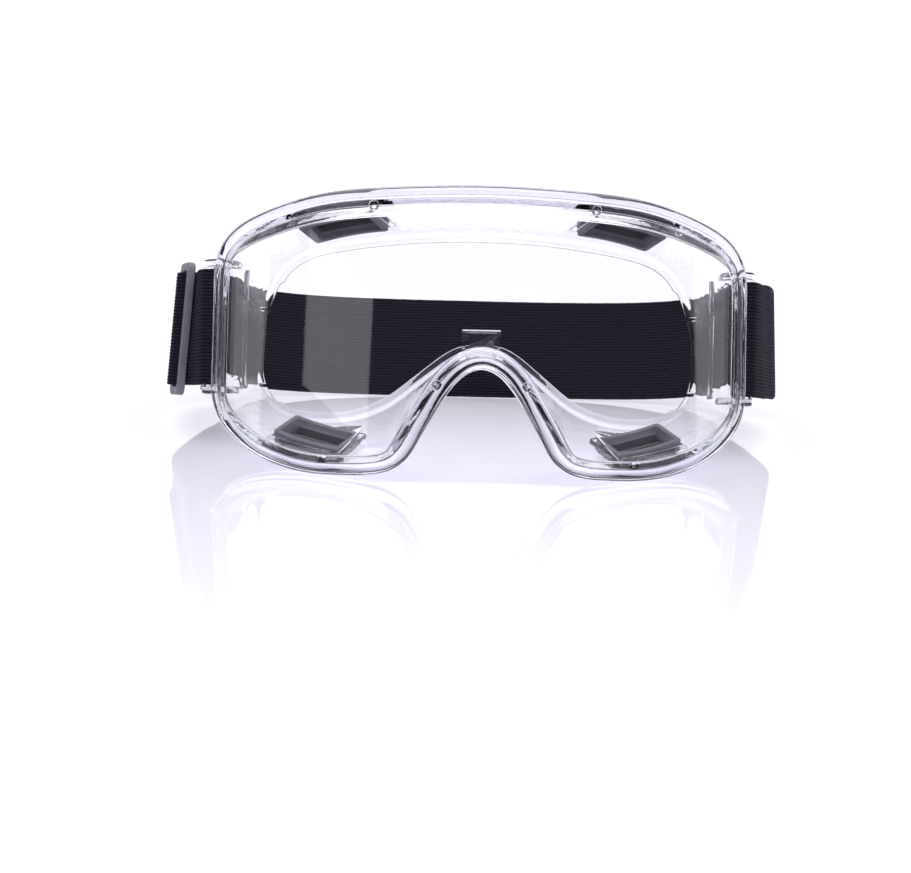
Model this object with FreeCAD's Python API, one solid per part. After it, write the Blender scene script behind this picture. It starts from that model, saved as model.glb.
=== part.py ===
import FreeCAD, Part
import math
import os

from FreeCAD import Vector

# Chemical-splash safety goggles: a one-piece soft vinyl frame with a wrap-round lens in a groove,
# four clip-in indirect vents, and a ribbed elastic head strap with a three-bar slider.
# Everything is drawn in the goggles' own upright frame (u to the wearer's left, v towards the face,
# w up) and then leaned back about the lobes that they stand on. Millimetres and degrees.

# ---- driving dimensions -------------------------------------------------------------------------
WRAP_RADIUS = 120.0        # the front curves back as u * u / (2 * WRAP_RADIUS)
LEAN_ANGLE = 12.5          # backward lean that puts the strap's rear edge on the table
RIM_DEPTH = 8.2            # front to back depth of the rim
BEAD_WIDTH = 3.4           # raised outer bead of the rim, seen from the front
WALL = 1.8                 # vinyl wall thickness
GROOVE_FRONT = 2.4         # depth of the lens groove's front face below the bead
GROOVE_BACK = 4.8
GROOVE_REACH = 3.2         # how far the lens edge is held by the rim
LENS_GAP = 0.1
FLANGE_SLITS = (27.2, 39.9, 52.6)      # heights of the slits in each side of the flange
SLIT_U = 70.5
SLIT_V = 53.0
SLIT_LENGTH = 3.6
SLIT_WIDTH = 1.0
NOSE_TAB_BASE = 37.6       # the tab over the nose bridge, from inside the flange to its top
NOSE_TAB_TOP = 45.4
NOSE_TAB_WIDTH = 11.8
NOSE_TAB_V = 19.0
SKIN_SPANS = 4             # surface patches round the frame
FLANGE_WIDTH = 4.0         # lip that turns inwards at the face opening
FLANGE_THICK = 1.6
TABLE_Z = -3.7             # table level below the leaned frame's own origin
CENTRE_Y = 77.1            # middle of the whole object, front to back

LUG_U = 87.6               # strap bar centre
LUG_V = 43.0
LUG_W = 46.0               # height of the strap's centre line
LUG_BAR_RADIUS = 1.9
LUG_ARM = 2.4
LUG_ROOM = 0.8             # between the webbing's edge and the lug's arm

STRAP_WIDTH = 37.2
STRAP_THICK = 1.2
STRAP_GAP = 0.15           # clearance between two layers of webbing
STRAP_REAR_V = 139.7       # rear centre of the strap
STRAP_SPLIT_V = 112.0      # where the side webs end and the rear band starts

SLIDER_WEB = (96.2, 57.0)  # plan point of the webbing under the slider's middle bar
SLIDER_HEADING = 21.0      # direction of the webbing through the slider, outwards from +v
SLIDER_LENGTH = 44.0
SLIDER_BAR = 2.2           # width of the front and rear bars along the webbing
SLIDER_BAR_AT = 5.1        # centre of the outer bars from the middle bar
SLIDER_THICK = 2.6
SLIDER_PIN_RADIUS = 0.8
SLIDER_GAP = 0.35          # clearance between the webbing and the slider's outer bars
FLARE_SLIDER_SIDE = 4.0    # degrees that the strap's lower edge stands out, slider side
FLARE_SEWN_SIDE = 2.0
STITCHES = 11              # stitches across the webbing in one row
STITCH_PITCH = 3.2
STITCH_GAP = 0.08          # the slider's stitches stay clear of the webbing that slides past them
STITCH_ROWS_RIGHT = [1.2, 2.8]                 # distances from the end sewn at the slider
STITCH_ROWS_LEFT = [3.0, 7.0, 11.0]            # distances from the end sewn at the lug
FLARE_REACH = 100.0        # distance from the middle plane where that flare is reached
FLARE_START_V = 45.0       # the flare grows from the lug bar to here
FLARE_FULL_V = 50.5
STRAP_LIFT = 5.3           # how far the strap rises where it bows out behind the slider

NUBS = [(33.5, 81.4), (13.4, 27.6)]   # lens pins (u, w)
NUB_RADIUS = 1.6
NUB_GAP = 0.2
NUB_LENGTH = 5.3
NOTCH_U = 48.0             # gaps in the lip for prising the lens out
NOTCH_W = 3.6
NOTCH_WIDTH = 2.8

RIB_STATION = 8            # station whose wall the side rib stands on
RIB_PLACE = 0.62           # how far back on that wall
RIB_LOW = 26.0
RIB_HIGH = 66.0

VENT_HALF_DEPTH = 6.5
VENT_BORDER = 2.2          # flange of each vent half outside the wall's window
VENT_PAD = 1.4             # flat pad of the wall round each vent
SEAT_GAP = 0.2
SEAT_REACH = 7.0           # how far the vent's seat is cleared each side of the wall
BEZEL_THICK = 1.5
BEZEL_BAR = 1.0
NECK_GAP = 0.15            # clearance of the bezel's neck in the wall's window
NECK_WALL = 1.2
NECK_TOP = 1.0             # how far the neck stands out of the wall
CAP_HEIGHT = 2.9
CAP_PLATE = 1.0
CAP_GAP = 1.2              # air gap under the hood's edge
CAP_POST = 2.0             # side of each square corner post

# Half of the frame, from the top centre round the wearer's left side to the nose centre:
# rim outline (u, w), width of the rim's front, face opening (u, w, v).
STATIONS = [
    (0.0, 87.5, 8.4, 0.0, 74.0, 32.0),
    (22.0, 87.1, 8.4, 21.5, 73.5, 35.0),
    (43.0, 86.2, 8.4, 42.5, 71.6, 42.0),
    (57.5, 83.9, 8.3, 55.5, 69.0, 48.5),
    (69.4, 80.3, 8.0, 62.3, 64.6, 53.0),
    (78.6, 75.4, 7.2, 65.6, 59.2, 55.3),
    (83.9, 67.5, 5.8, 68.0, 53.0, 56.3),
    (84.8, 57.0, 5.3, 69.4, 47.8, 56.8),
    (84.9, 46.0, 5.3, 70.0, 42.6, 57.0),
    (85.0, 35.0, 5.3, 69.8, 36.8, 56.8),
    (84.8, 24.5, 5.3, 69.2, 30.0, 56.2),
    (82.0, 16.3, 5.5, 65.9, 24.0, 54.6),
    (75.8, 9.6, 5.8, 60.8, 20.6, 50.8),
    (66.6, 4.1, 6.0, 54.4, 19.3, 45.8),
    (53.5, 0.5, 6.0, 47.2, 19.1, 40.4),
    (40.5, 0.0, 6.0, 40.2, 19.9, 35.8),
    (29.6, 0.9, 6.2, 33.6, 22.0, 31.6),
    (22.4, 5.0, 6.6, 27.6, 25.2, 27.8),
    (18.4, 11.3, 6.8, 21.8, 29.6, 24.4),
    (14.8, 17.6, 6.8, 16.2, 34.0, 21.6),
    (11.0, 24.0, 6.8, 10.8, 38.0, 19.8),
    (6.0, 30.0, 6.8, 5.4, 40.4, 19.1),
    (0.0, 32.6, 6.8, 0.0, 41.0, 19.0),
]

# Vents: name, side of the frame, place of the centre in the list of stations, turn on the wall
# in degrees, half length, wall left between the rim and the vent.
VENTS = [
    ("top_left", 1, 2.3, 3.0, 12.9, 4.6),
    ("top_right", -1, 2.3, 3.0, 12.9, 4.6),
    ("bottom_left", 1, 13.75, -4.0, 12.6, 6.6),
    ("bottom_right", -1, 13.75, -4.0, 12.6, 6.6),
]


def front(u):
    return u * u / (2.0 * WRAP_RADIUS)


def mirrored(half):
    """Close a half list of (u, ...) rows into a full loop."""
    other = [(-row[0],) + tuple(row[1:]) for row in half[-2:0:-1]]
    return list(half) + other


def loop_edge(points):
    curve = Part.BSplineCurve()
    last = float(len(points))
    knots = [float(i) for i in range(len(points))] + [last]
    curve.interpolate(Points=points, Parameters=knots, PeriodicFlag=True)
    return curve


def inward_normals(loop):
    """Unit vectors in the u-w plane that point into the loop."""
    curve = loop_edge([Vector(u, 0, w) for u, w in loop])
    normals = []
    for i in range(len(loop)):
        tangent = curve.tangent(float(i))[0]
        normals.append((-tangent.z, tangent.x))
    inside = sum(n[1] for n in normals[:3])
    sign = -1.0 if inside > 0 else 1.0
    return [(sign * a, sign * b) for a, b in normals]


RIM = mirrored([(s[0], s[1]) for s in STATIONS])
BAND = [row[1] for row in mirrored([(s[0], s[2]) for s in STATIONS])]
OPENING = [(row[0], row[1], row[2]) for row in mirrored([(s[3], s[4], s[5]) for s in STATIONS])]
RIM_NORMALS = inward_normals(RIM)
OPENING_NORMALS = inward_normals([(p[0], p[1]) for p in OPENING])


def rim_ring(inset, depth):
    """Ring at a distance inside the rim outline and a depth behind the wrapped front."""
    points = []
    for (u, w), (nu, nw), band in zip(RIM, RIM_NORMALS, BAND):
        step = inset(band) if callable(inset) else inset
        pu = u + nu * step
        points.append(Vector(pu, front(pu) + depth, w + nw * step))
    return points


def opening_ring(outset, back):
    points = []
    for (u, w, v), (nu, nw) in zip(OPENING, OPENING_NORMALS):
        points.append(Vector(u - nu * outset, v - back, w - nw * outset))
    return points


def lip(band):
    return band


def lip_shoulder(band):
    return band - 0.6


def groove_floor(band):
    return band - GROOVE_REACH


def wall_inside(band):
    return min(BEAD_WIDTH - 0.8 + WALL, band - 0.8)


def skirt_front_ring():
    return rim_ring(BEAD_WIDTH - 0.8, RIM_DEPTH)


def skirt_back_ring():
    return opening_ring(FLANGE_WIDTH, 0.0)


def frame_shell():
    """The whole moulded section swept round the frame, ring by ring."""
    rings = [
        rim_ring(0.0, 1.0),
        rim_ring(1.0, 0.0),
        rim_ring(BEAD_WIDTH - 0.8, 0.0),
        rim_ring(BEAD_WIDTH, 1.0),
        rim_ring(lip_shoulder, 1.1),
        rim_ring(lip, 1.6),
        rim_ring(lip, GROOVE_FRONT),
        rim_ring(groove_floor, GROOVE_FRONT),
        rim_ring(groove_floor, GROOVE_BACK),
        rim_ring(lip, GROOVE_BACK),
        rim_ring(lip, GROOVE_BACK + 1.2),
        rim_ring(wall_inside, RIM_DEPTH - 0.8),
        opening_ring(FLANGE_WIDTH - WALL, FLANGE_THICK),
        opening_ring(0.0, FLANGE_THICK),
        opening_ring(0.0, 0.0),
        skirt_back_ring(),
        skirt_front_ring(),
        rim_ring(0.8, RIM_DEPTH),
        rim_ring(0.0, RIM_DEPTH - 0.8),
    ]
    curves = [loop_edge(points) for points in rings]
    span = float(len(RIM)) / SKIN_SPANS
    faces = []
    for k in range(SKIN_SPANS):
        edges = []
        for curve in curves:
            piece = curve.copy()
            piece.segment(span * k, span * (k + 1))
            edges.append(piece.toShape())
        for i, edge in enumerate(edges):
            faces.append(Part.makeRuledSurface(edge, edges[(i + 1) % len(edges)]))
    shell = Part.makeShell(faces)
    shell.sewShape()
    solid = Part.makeSolid(shell)
    if solid.Volume < 0:
        solid.reverse()
    return solid


def placed_box(size, origin, x_axis, y_axis, z_axis):
    """Box with given (low, high) pairs along three unit axes through an origin."""
    (x0, x1), (y0, y1), (z0, z1) = size
    box = Part.makeBox(x1 - x0, y1 - y0, z1 - z0, Vector(x0, y0, z0))
    matrix = FreeCAD.Matrix(
        x_axis.x, y_axis.x, z_axis.x, origin.x,
        x_axis.y, y_axis.y, z_axis.y, origin.y,
        x_axis.z, y_axis.z, z_axis.z, origin.z,
        0, 0, 0, 1)
    box.Placement = FreeCAD.Placement(matrix).multiply(box.Placement)
    return box


def vent_seat(side, place, turn, half_length, setback):
    """Origin and axes of a vent on the skirt wall: a along the rim, b to the back, c outwards."""
    front_curve = loop_edge(skirt_front_ring())
    back_curve = loop_edge(skirt_back_ring())
    fore = front_curve.value(place)
    aft = back_curve.value(place)
    reach = (aft - fore).normalize()
    a_axis = (front_curve.value(place + 0.5) - front_curve.value(place - 0.5)).normalize()
    b_axis = (reach - a_axis * reach.dot(a_axis)).normalize()
    origin = fore + b_axis * (VENT_HALF_DEPTH + setback)
    swing = math.radians(turn)
    a_axis = a_axis * math.cos(swing) + b_axis * math.sin(swing)
    b_axis = (b_axis - a_axis * b_axis.dot(a_axis)).normalize()
    c_axis = a_axis.cross(b_axis)
    if c_axis.z * (origin.z - LUG_W) < 0:
        c_axis = c_axis * -1.0
    if side < 0:
        origin, b_axis, c_axis = [Vector(-p.x, p.y, p.z) for p in (origin, b_axis, c_axis)]
    a_axis = b_axis.cross(c_axis)
    return origin, a_axis, b_axis, c_axis, half_length


def vent_box(seat, a_half, b_half, c_low, c_high):
    origin, a_axis, b_axis, c_axis, _ = seat
    size = ((-a_half, a_half), (-b_half, b_half), (c_low, c_high))
    return placed_box(size, origin, a_axis, b_axis, c_axis)


def vent_bezel(seat):
    """Inner half: a rectangular flange inside the wall and a neck through it, with one long bar."""
    inner = seat[4] - VENT_BORDER
    depth = VENT_HALF_DEPTH - VENT_BORDER
    floor = -WALL - BEZEL_THICK
    flange = vent_box(seat, seat[4], VENT_HALF_DEPTH, floor, -WALL)
    neck = vent_box(seat, inner - NECK_GAP, depth - NECK_GAP, -WALL, NECK_TOP)
    body = flange.fuse(neck)
    body = body.cut(vent_box(seat, inner - NECK_WALL, depth - NECK_WALL, floor - 1.0, NECK_TOP + 1.0))
    bar = vent_box(seat, inner - NECK_WALL / 2.0, BEZEL_BAR / 2.0, -WALL, NECK_TOP / 2.0)
    return body.fuse(bar).removeSplitter()


def vent_cap(seat):
    """Outer half: a hood that stands off the wall on corner posts, so air turns a corner."""
    origin, a_axis, b_axis, c_axis, half = seat
    inside = VENT_HALF_DEPTH - CAP_PLATE
    body = vent_box(seat, half, VENT_HALF_DEPTH, CAP_GAP, CAP_HEIGHT)
    body = body.cut(vent_box(seat, half - CAP_PLATE, inside, 0.0, CAP_HEIGHT - CAP_PLATE))
    for a_sign in (-1, 1):
        for b_sign in (-1, 1):
            a_pair = sorted((a_sign * (half - CAP_POST), a_sign * half))
            b_pair = sorted((b_sign * (VENT_HALF_DEPTH - CAP_POST), b_sign * VENT_HALF_DEPTH))
            size = (a_pair, b_pair, (0.0, CAP_HEIGHT - CAP_PLATE / 2.0))
            body = body.fuse(placed_box(size, origin, a_axis, b_axis, c_axis))
    return body.removeSplitter()


def lug(side):
    """Two arms and the upright bar that the strap goes round."""
    plan = [(78.6, 39.6), (81.6, 35.4), (88.4, 40.6), (89.4, 42.4), (89.5, 44.0), (88.4, 45.2),
            (86.6, 45.2), (78.0, 44.6)]
    low = LUG_W - STRAP_WIDTH / 2.0 - LUG_ROOM - LUG_ARM
    high = LUG_W + STRAP_WIDTH / 2.0 + LUG_ROOM
    points = [Vector(side * u, v, 0) for u, v in plan]
    face = Part.Face(Part.makePolygon(points + [points[0]]))
    shapes = []
    for w in (low, high):
        arm = face.extrude(Vector(0, 0, LUG_ARM))
        arm.translate(Vector(0, 0, w))
        shapes.append(arm)
    bar = Part.makeCylinder(LUG_BAR_RADIUS, high - low + LUG_ARM, Vector(side * LUG_U, LUG_V, low))
    shapes.append(bar)
    return shapes


def side_rib(side):
    """Upright stiffening rib outside the side wall."""
    fore = skirt_front_ring()[RIB_STATION]
    aft = skirt_back_ring()[RIB_STATION]
    reach = Vector(aft.x - fore.x, aft.y - fore.y, 0).normalize()
    base = fore + (aft - fore) * RIB_PLACE
    out = Vector(-reach.y, reach.x, 0)
    if out.x < 0:
        out = out * -1.0
    size = ((-0.7, 0.7), (RIB_LOW, RIB_HIGH), (-0.8, 0.9))
    reach, out, base = [Vector(side * p.x, p.y, 0) for p in (reach, out, base)]
    return placed_box(size, base, Vector(0, 0, 1).cross(out), Vector(0, 0, 1), out)


def frame_body(seats):
    body = frame_shell()
    for side in (-1, 1):
        for shape in lug(side):
            body = body.fuse(shape)
        body = body.fuse(side_rib(side))
    for seat in seats:
        half = seat[4]
        body = body.fuse(vent_box(seat, half + VENT_PAD, VENT_HALF_DEPTH + VENT_PAD, -WALL, 0.0))
    for seat in seats:
        half = seat[4] + SEAT_GAP
        depth = VENT_HALF_DEPTH + SEAT_GAP
        body = body.cut(vent_box(seat, half, depth, -SEAT_REACH, -WALL))
        body = body.cut(vent_box(seat, half, depth, 0.0, SEAT_REACH))
        window = (seat[4] - VENT_BORDER, VENT_HALF_DEPTH - VENT_BORDER)
        body = body.cut(vent_box(seat, window[0], window[1], -SEAT_REACH, SEAT_REACH))
    body = body.cut(flange_slits())
    body = body.fuse(nose_tab())
    for u, w in NUBS:
        for side in (-1, 1):
            body = body.fuse(nub(side * u, w))
    for side in (-1, 1):
        body = body.cut(lip_notch(side))
    return body


def nub(u, w):
    """Round pin through the lens, from a small boss on the front lip to the back lip."""
    return Part.makeCylinder(NUB_RADIUS, NUB_LENGTH, Vector(u, front(u) + 0.3, w), Vector(0, 1, 0))


def lip_notch(side):
    """Gap in the front lip where the lens is prised out."""
    u = side * NOTCH_U
    corner = Vector(u - NOTCH_WIDTH / 2.0, front(u) - 0.1, NOTCH_W)
    return Part.makeBox(NOTCH_WIDTH, GROOVE_FRONT, 4.0, corner)


def flange_slits():
    """Three short slits each side that let the face flange flex."""
    cuts = []
    for side in (-1, 1):
        for w in FLANGE_SLITS:
            corner = Vector(side * SLIT_U - SLIT_LENGTH / 2.0, SLIT_V, w)
            cuts.append(Part.makeBox(SLIT_LENGTH, 6.0, SLIT_WIDTH, corner))
    return Part.makeCompound(cuts)


def nose_tab():
    """Flat tab that stands up from the flange over the nose bridge."""
    corner = Vector(-NOSE_TAB_WIDTH / 2.0, NOSE_TAB_V - FLANGE_THICK, NOSE_TAB_BASE)
    return Part.makeBox(NOSE_TAB_WIDTH, FLANGE_THICK, NOSE_TAB_TOP - NOSE_TAB_BASE, corner)


def lens():
    """Wrap-round lens: a curved sheet trimmed to the groove."""
    outline = []
    for (u, w), (nu, nw), band in zip(RIM, RIM_NORMALS, BAND):
        step = groove_floor(band) + LENS_GAP
        outline.append(Vector(u + nu * step, -10.0, w + nw * step))
    prism = Part.Face(Part.Wire(loop_edge(outline).toShape())).extrude(Vector(0, 60, 0))
    reach = 90.0
    low = -5.0
    rows = [-reach + reach * i / 4.0 for i in range(9)]
    faces = []
    for depth in (GROOVE_FRONT + LENS_GAP, GROOVE_BACK - LENS_GAP):
        faces.append([Vector(u, front(u) + depth, low) for u in rows])
    edges = []
    for points in faces:
        curve = Part.BSplineCurve()
        curve.interpolate(points)
        edges.append(curve.toShape())
    start = Part.makeLine(faces[0][0], faces[1][0])
    end = Part.makeLine(faces[0][-1], faces[1][-1])
    sheet = Part.Face(Part.Wire([edges[0], end, edges[1], start]))
    body = sheet.extrude(Vector(0, 0, 100.0)).common(prism)
    for u, w in NUBS:
        for side in (-1, 1):
            foot = Vector(side * u, front(u) - 2.0, w)
            body = body.cut(Part.makeCylinder(NUB_RADIUS + NUB_GAP, 9.0, foot, Vector(0, 1, 0)))
    return body


# ---- strap --------------------------------------------------------------------------------------
RAISED_STEP = 6.0          # spacing of the points that carry the rear band's edges
# Plan of the webbing's centre line on one side, from behind the slider to near the rear centre.
SIDE_PLAN = [(100.6, 68.5), (104.0, 79.0), (105.8, 90.0), (104.6, 102.0), (98.0, 114.5),
             (83.0, 126.3), (53.0, 136.0), (24.0, 139.2)]
LIFT_START_V = SIDE_PLAN[0][1] + 1.0
LUG_HEADING = 23.0         # heading of the webbing where it leaves the bar, outwards from +v
LOOP_START = 148.0         # angle round the bar where the inner layer meets it
LOOP_RADIUS = LUG_BAR_RADIUS + STRAP_GAP + STRAP_THICK / 2.0
LAYER = STRAP_THICK + STRAP_GAP
WEB_UNDER = -(SLIDER_THICK / 2.0 + SLIDER_GAP + STRAP_THICK / 2.0)
FOLD_RADIUS = SLIDER_PIN_RADIUS + STRAP_GAP + STRAP_THICK / 2.0
WEB_OVER = FOLD_RADIUS + LAYER + 0.1


def polar(radius, angle):
    a = math.radians(angle)
    return Vector(radius * math.cos(a), radius * math.sin(a), 0)


def plan_axes(heading):
    """Unit vectors along the webbing and outwards from it."""
    a = math.radians(heading)
    return Vector(math.sin(a), math.cos(a), 0), Vector(math.cos(a), -math.sin(a), 0)


def slider_point(s, n):
    """Plan point at s along the webbing and n outwards from the slider's middle bar."""
    along, out = plan_axes(SLIDER_HEADING)
    return Vector(SLIDER_WEB[0], SLIDER_WEB[1], 0) + along * s + out * (n - WEB_UNDER)


def lug_loop():
    """Points round the lug bar, from the inner layer to the outer one."""
    centre = Vector(LUG_U, LUG_V, 0)
    sweep = 360.0 - LUG_HEADING - LOOP_START
    return [centre + polar(LOOP_RADIUS, LOOP_START + sweep * i / 6.0) for i in range(7)]


def slider_side_path():
    """Sewn end, fold round the middle bar, inner layer, lug loop, outer layer and the weave."""
    inner = WEB_UNDER - LAYER
    end = [(-7.5, -6.5), (-4.5, -5.6), (-1.5, -5.05), (0.6, -4.25), (1.65, -2.2)]
    fold = [tuple(polar(FOLD_RADIUS, angle))[:2] for angle in (0.0, 45.0, 90.0, 135.0, 180.0)]
    back = [(-1.65, -1.6), (-2.5, inner + 0.5), (-4.2, inner)]
    hump = [tuple(polar(WEB_OVER, angle))[:2] for angle in (178.0, 135.0, 90.0)]
    weave = [(-7.0, WEB_UNDER), (-4.9, WEB_UNDER), (-3.75, WEB_UNDER + 0.1), (-3.2, -1.2)] + hump
    weave += [(-s, n) for s, n in weave[-2::-1]]
    points = [slider_point(s, n) for s, n in end + fold + back]
    points += lug_loop()
    points += [slider_point(s, n) for s, n in weave]
    return points


def sewn_side_path():
    """Sewn end, lug loop and outer layer."""
    along, out = plan_axes(LUG_HEADING)
    centre = Vector(LUG_U, LUG_V, 0)
    tail = [(26.0, 0.35), (20.0, 0.6), (14.0, 0.45), (8.0, -0.6)]
    points = [centre + along * s + out * n for s, n in tail]
    points += lug_loop()
    points += [Vector(SLIDER_WEB[0], SLIDER_WEB[1], 0)]
    return points


def webbing_curve():
    """One centre line from the slider side's sewn end, round the back, to the other sewn end."""
    side = [Vector(u, v, 0) for u, v in SIDE_PLAN]
    near = [Vector(-p.x, p.y, 0) for p in slider_side_path() + side]
    far = (sewn_side_path() + side)[::-1]
    curve = Part.BSplineCurve()
    curve.interpolate(near + [Vector(0, STRAP_REAR_V, 0)] + far)
    return curve


def flared(point, w):
    """Place on the webbing: its lower edge stands out and its sides rise behind the slider."""
    angle = FLARE_SLIDER_SIDE if point.x < 0 else FLARE_SEWN_SIDE
    grown = min(max((point.y - FLARE_START_V) / (FLARE_FULL_V - FLARE_START_V), 0.0), 1.0)
    slope = math.tan(math.radians(angle)) * point.x / FLARE_REACH
    back = max((point.y - LIFT_START_V) / (STRAP_REAR_V - LIFT_START_V), 0.0)
    lift = STRAP_LIFT * (1.0 - math.cos(2.0 * math.pi * back)) / 2.0
    return Vector(point.x - slope * grown * w, point.y, LUG_W + w + lift)


def webbing_edges(curve, first, last, step):
    """Four long edges of the webbing between two parameters: inner and outer, low then high."""
    count = max(int(curve.length(first, last) / step), 8)
    half = STRAP_THICK / 2.0
    sides = ([], [])
    for i in range(count + 1):
        t = first + (last - first) * i / count
        point = curve.value(t)
        tangent = curve.tangent(t)[0]
        normal = Vector(-tangent.y, tangent.x, 0)
        sides[0].append(point + normal * half)
        sides[1].append(point - normal * half)
    edges = []
    for side, w in ((0, -0.5), (1, -0.5), (1, 0.5), (0, 0.5)):
        spline = Part.BSplineCurve()
        spline.interpolate([flared(p, w * STRAP_WIDTH) for p in sides[side]])
        edges.append(spline.toShape())
    return edges


def end_lines(edges, first, second):
    """Short lines that close two long edges at their ends."""
    lines = []
    for end in (0, -1):
        lines.append(Part.makeLine(edges[first].Vertexes[end].Point, edges[second].Vertexes[end].Point))
    return lines


def level_web(curve, first, last, step):
    """Webbing whose edges stay level, which may turn back on itself."""
    edges = webbing_edges(curve, first, last, step)
    wires = []
    for inner, outer in ((0, 1), (3, 2)):
        start, end = end_lines(edges, inner, outer)
        wires.append(Part.Wire([edges[inner], end, edges[outer], start]))
    return Part.makeLoft(wires, True, True)


def raised_web(curve, first, last, step):
    """Webbing whose edges rise and fall, along an open bend."""
    edges = webbing_edges(curve, first, last, step)
    faces = [Part.makeRuledSurface(edges[i], edges[(i + 1) % 4]) for i in range(4)]
    for low, high in zip(end_lines(edges, 0, 1), end_lines(edges, 3, 2)):
        faces.append(Part.makeRuledSurface(low, high))
    shell = Part.makeShell(faces)
    shell.sewShape()
    solid = Part.makeSolid(shell)
    if solid.Volume < 0:
        solid.reverse()
    return solid


def side_web(curve, end, split, step):
    """One side of the strap: level from its sewn end to behind the slider, then raised."""
    sign = 1.0 if end == curve.LastParameter else -1.0
    turn = curve.parameter(Vector(sign * SIDE_PLAN[0][0], SIDE_PLAN[0][1], 0))
    front_web = level_web(curve, min(end, turn), max(end, turn), step)
    rear_web = raised_web(curve, min(turn, split), max(turn, split), RAISED_STEP)
    return front_web.fuse(rear_web).removeSplitter()


def split_parameters(curve):
    """Parameters where the webbing passes the planes between its side webs and its rear band."""
    found = []
    for sign in (-1, 1):
        low = curve.parameter(Vector(sign * 105.8, 90.0, 0))
        high = curve.parameter(Vector(0, STRAP_REAR_V, 0))
        for _ in range(40):
            middle = (low + high) / 2.0
            if curve.value(middle).y < STRAP_SPLIT_V:
                low = middle
            else:
                high = middle
        found.append(high)
    return found


def strap_slider():
    """Three-bar slider: two rails, two flat outer bars and a round middle bar."""
    half = SLIDER_LENGTH / 2.0
    inner = STRAP_WIDTH / 2.0 + 0.4
    reach = SLIDER_BAR_AT + SLIDER_BAR / 2.0
    along, out = plan_axes(SLIDER_HEADING)
    plate = Part.makeBox(2 * reach, SLIDER_THICK, 2 * half, Vector(-reach, -SLIDER_THICK / 2.0, -half))
    corners = [e for e in plate.Edges if abs(e.Vertexes[0].Y - e.Vertexes[1].Y) > 1.0]
    plate = plate.makeFillet(2.0, corners)
    plate = plate.makeFillet(0.6, [e for e in plate.Edges if abs(e.CenterOfMass.y) > 1.0])
    slot_reach = SLIDER_BAR_AT - SLIDER_BAR / 2.0
    window = Part.makeBox(2 * slot_reach, 9.0, 2 * inner, Vector(-slot_reach, -4.5, -inner))
    bar = Part.makeCylinder(SLIDER_PIN_RADIUS, 2 * inner + 2.0, Vector(0, 0, -inner - 1.0))
    body = plate.cut(window).fuse(bar).removeSplitter()
    origin = slider_point(0.0, 0.0)
    matrix = FreeCAD.Matrix(
        along.x, -out.x, 0, origin.x,
        along.y, -out.y, 0, origin.y,
        0, 0, 1, LUG_W,
        0, 0, 0, 1)
    body.Placement = FreeCAD.Placement(matrix).multiply(body.Placement)
    body.rotate(Vector(origin.x, origin.y, LUG_W), Vector(0, 1, 0), -FLARE_SLIDER_SIDE)
    return body.mirror(Vector(0, 0, 0), Vector(1, 0, 0))


def stitching(curve, places, face, gap):
    """Rows of thread lying on one face of the webbing, each a line of short stitches."""
    rows = []
    surface = STRAP_THICK / 2.0 + gap
    for t in places:
        point = curve.value(t)
        tangent = curve.tangent(t)[0]
        normal = Vector(-tangent.y, tangent.x, 0) * face
        up = Vector(0, 0, 1)
        for i in range(STITCHES):
            w = (i + 0.5 - STITCHES / 2.0) * STITCH_PITCH
            size = ((-0.3, 0.3), (surface, surface + 0.3), (-1.1, 1.1))
            origin = flared(point, w)
            rows.append(placed_box(size, origin, normal.cross(up), normal, up))
    return Part.makeCompound(rows)


def leaned(shape):
    """Lean the goggles back, stand them on the table and centre them over the origin."""
    turned = shape.copy()
    turned.rotate(Vector(0, 0, 0), Vector(1, 0, 0), -LEAN_ANGLE)
    turned.translate(Vector(0, -CENTRE_Y, -TABLE_Z))
    return turned


def footed(shape):
    """Flatten the two lobes where the soft frame stands on the table."""
    return shape.cut(Part.makeBox(300, 300, 50, Vector(-150, -150, -50)))


def stitch_parameters(curve, start, end, distances):
    """Parameters of the centre line at distances from one of its ends."""
    found = []
    for distance in distances:
        low, high = start, end
        for _ in range(40):
            middle = (low + high) / 2.0
            if curve.length(min(start, middle), max(start, middle)) < distance:
                low = middle
            else:
                high = middle
        found.append(high)
    return found


def main():
    seats = [vent_seat(*vent[1:]) for vent in VENTS]
    shapes = {"frame_body": frame_body(seats), "lens": lens()}
    for (name, *_), seat in zip(VENTS, seats):
        shapes["vent_bezel_" + name] = vent_bezel(seat)
        shapes["vent_cap_" + name] = vent_cap(seat)
    curve = webbing_curve()
    first, last = curve.FirstParameter, curve.LastParameter
    split_right, split_left = split_parameters(curve)
    shapes["strap_side_right"] = side_web(curve, first, split_right, 0.9)
    shapes["strap_rear"] = raised_web(curve, split_right, split_left, RAISED_STEP)
    shapes["strap_side_left"] = side_web(curve, last, split_left, 1.2)
    shapes["strap_slider"] = strap_slider()
    tail = stitch_parameters(curve, first, split_right, STITCH_ROWS_RIGHT)
    shapes["stitching_right"] = stitching(curve, tail, -1.0, STITCH_GAP)
    seam = stitch_parameters(curve, last, split_left, STITCH_ROWS_LEFT)
    shapes["stitching_left"] = stitching(curve, seam, 1.0, 0.0)
    for name, shape in shapes.items():
        shape = leaned(shape)
        if name == "frame_body":
            shape = footed(shape)
        box = shape.optimalBoundingBox(False, False)
        print(name, shape.isValid(), round(shape.Volume), len(shape.Solids),
              [round(q, 1) for q in (box.XMin, box.XMax, box.YMin, box.YMax)],
              [round(q, 2) for q in (box.ZMin, box.ZMax)])
        shape.exportStep("parts/" + name + ".step")
    print("webbing length", round(curve.length(first, last), 1))


os.makedirs("parts", exist_ok=True)
main()
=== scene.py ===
import math

import bmesh
import bpy
import numpy as np
from mathutils import Matrix, Vector

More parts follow.
